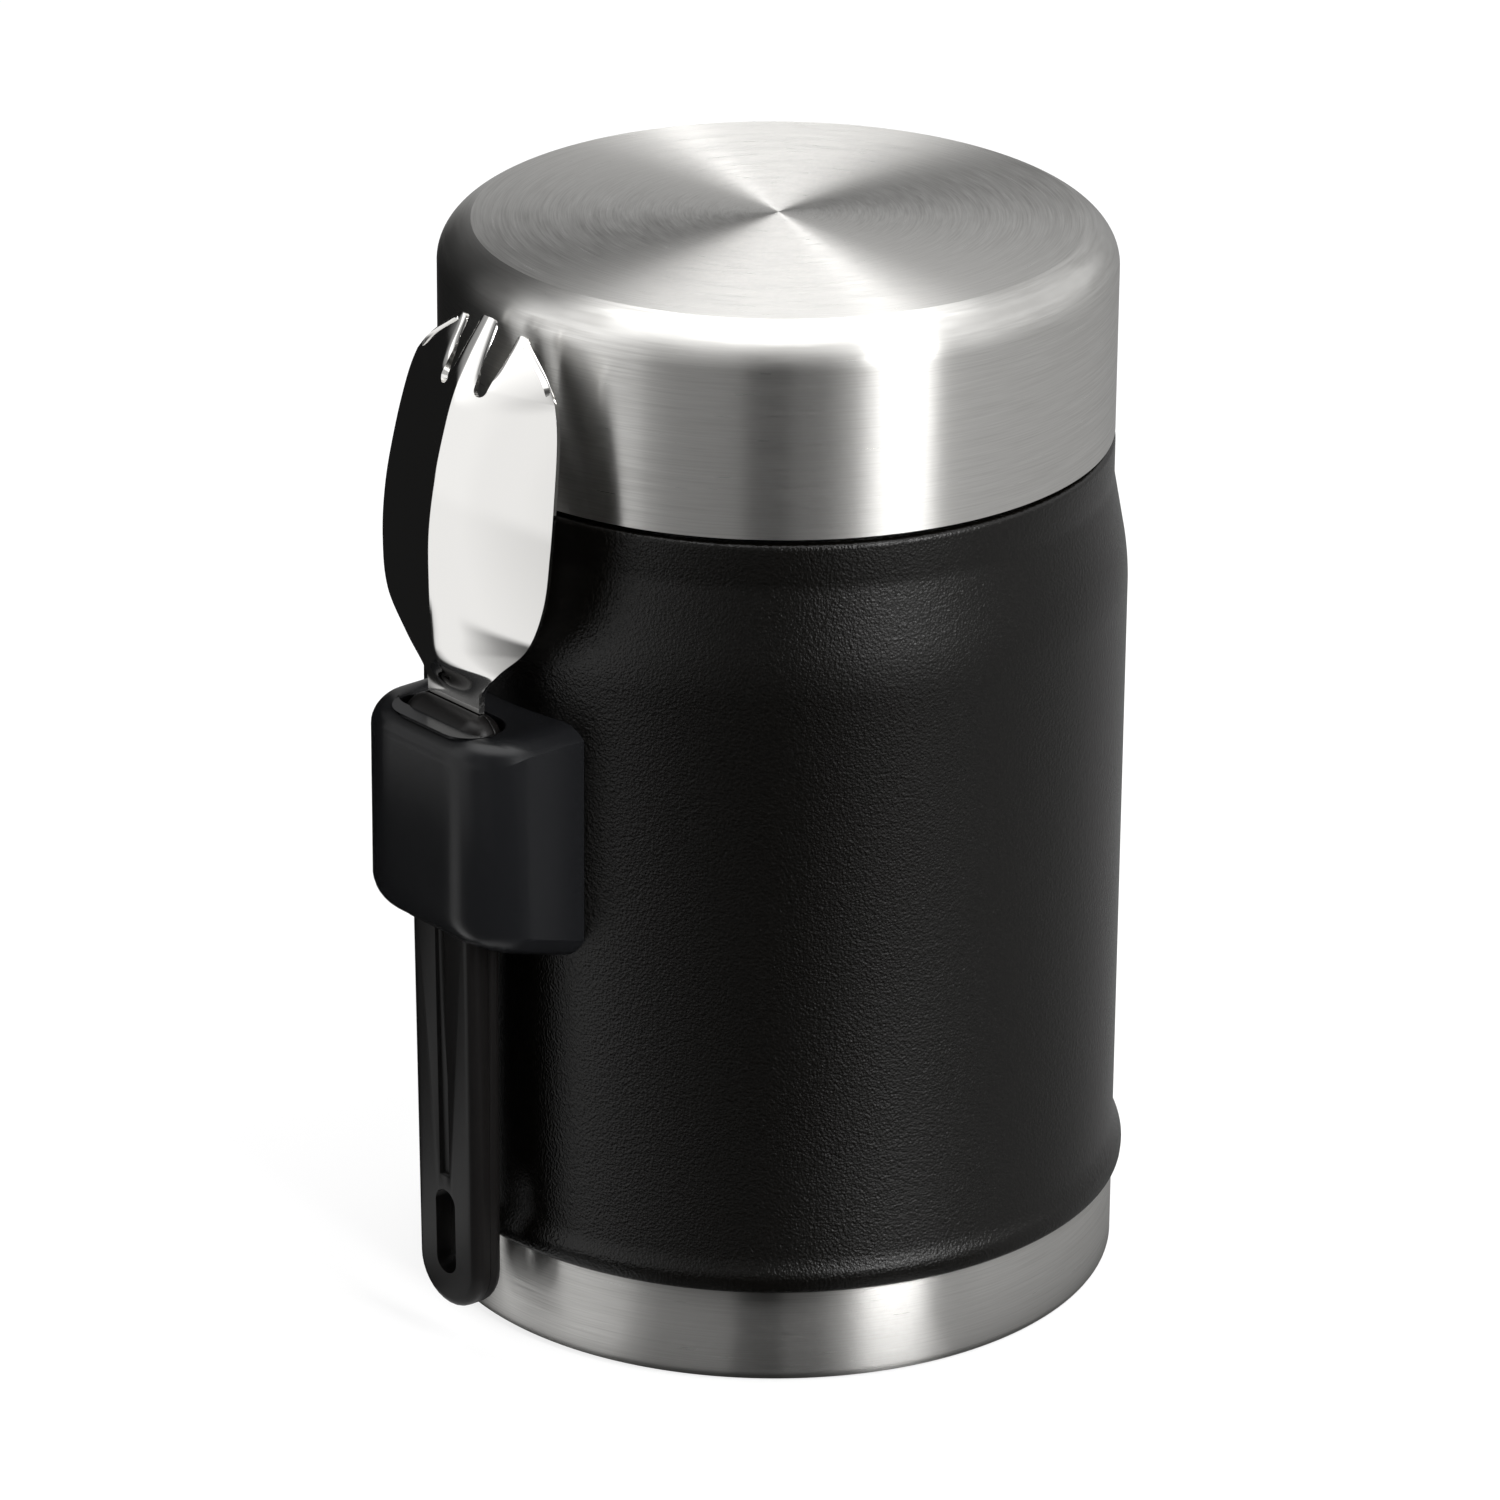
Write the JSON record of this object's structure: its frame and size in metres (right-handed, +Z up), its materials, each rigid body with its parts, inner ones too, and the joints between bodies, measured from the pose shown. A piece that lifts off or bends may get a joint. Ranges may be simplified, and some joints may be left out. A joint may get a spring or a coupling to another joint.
{
  "type": "insulated food jar",
  "caption": "Double-walled steel food jar with a dark coated body, a brushed screw lid and a telescoping spork held in a moulded holder on its side.",
  "frame": {"origin": "centre of the base, on the plane the jar stands on", "axes": "+Z up along the jar's axis; the spork holder is on the -Y side; +X to the right when the holder faces the viewer"},
  "size_m": [0.0944, 0.1072, 0.1446],
  "materials": {
    "coated_steel": "fine-textured black powder coat",
    "brushed_steel": "bare steel brushed round the axis",
    "plain_steel": "plain stainless sheet",
    "seal_metal": "dull vacuum seal",
    "getter_metal": "pressed metal tablet",
    "foil": "bright foil",
    "holder_plastic": "finely grained dark grey moulding",
    "silicone": "translucent pale silicone",
    "lid_steel": "brushed round the axis, sides and top",
    "lid_plastic": "smooth black moulding",
    "foam": "rigid insulating foam",
    "handle_plastic": "satin black moulding",
    "polished_steel": "mirror-polished stainless"
  },
  "bodies": {
    "jar": {"outer_shell": "coated_steel", "base_cup": "brushed_steel", "outer_bottom": "plain_steel", "vacuum_seal": "seal_metal", "getter": "getter_metal", "inner_liner": "plain_steel", "foil_wrap": "foil", "threaded_neck": "plain_steel", "holder_bracket": "plain_steel", "holder_housing": "holder_plastic", "holder_screws": "plain_steel"},
    "lid_seal": {"mouth_seal": "silicone"},
    "lid": {"lid_shell": "lid_steel", "lid_liner": "lid_plastic", "lid_foam": "foam", "lid_plug": "lid_plastic"},
    "spork_handle": {"handle_front": "handle_plastic", "handle_back": "handle_plastic", "detent_leaf": "plain_steel"},
    "spork": {"spork_head": "polished_steel", "stop_pin": "polished_steel"}
  },
  "joints": [
    {"name": "lid_lift", "type": "slide", "parent": "jar", "child": "lid_seal", "axis": [0, 0, 1], "range_m": [0, 0.01801]},
    {"name": "lid_turn", "type": "hinge", "parent": "lid_seal", "child": "lid", "pos_m": [0, 0, 0.1165], "axis": [0, 0, 1], "range_deg": [0, 1080]},
    {"name": "spork_lift", "type": "slide", "parent": "jar", "child": "spork_handle", "axis": [0, 0, 1], "range_m": [0, 0.086]},
    {"name": "spork_extend", "type": "slide", "parent": "spork_handle", "child": "spork", "axis": [0, 0, 1], "range_m": [0, 0.042]}
  ],
  "couplings": [
    {"joint": "lid_lift", "follows": "lid_turn", "m_per_rad": 0.00095493}
  ]
}
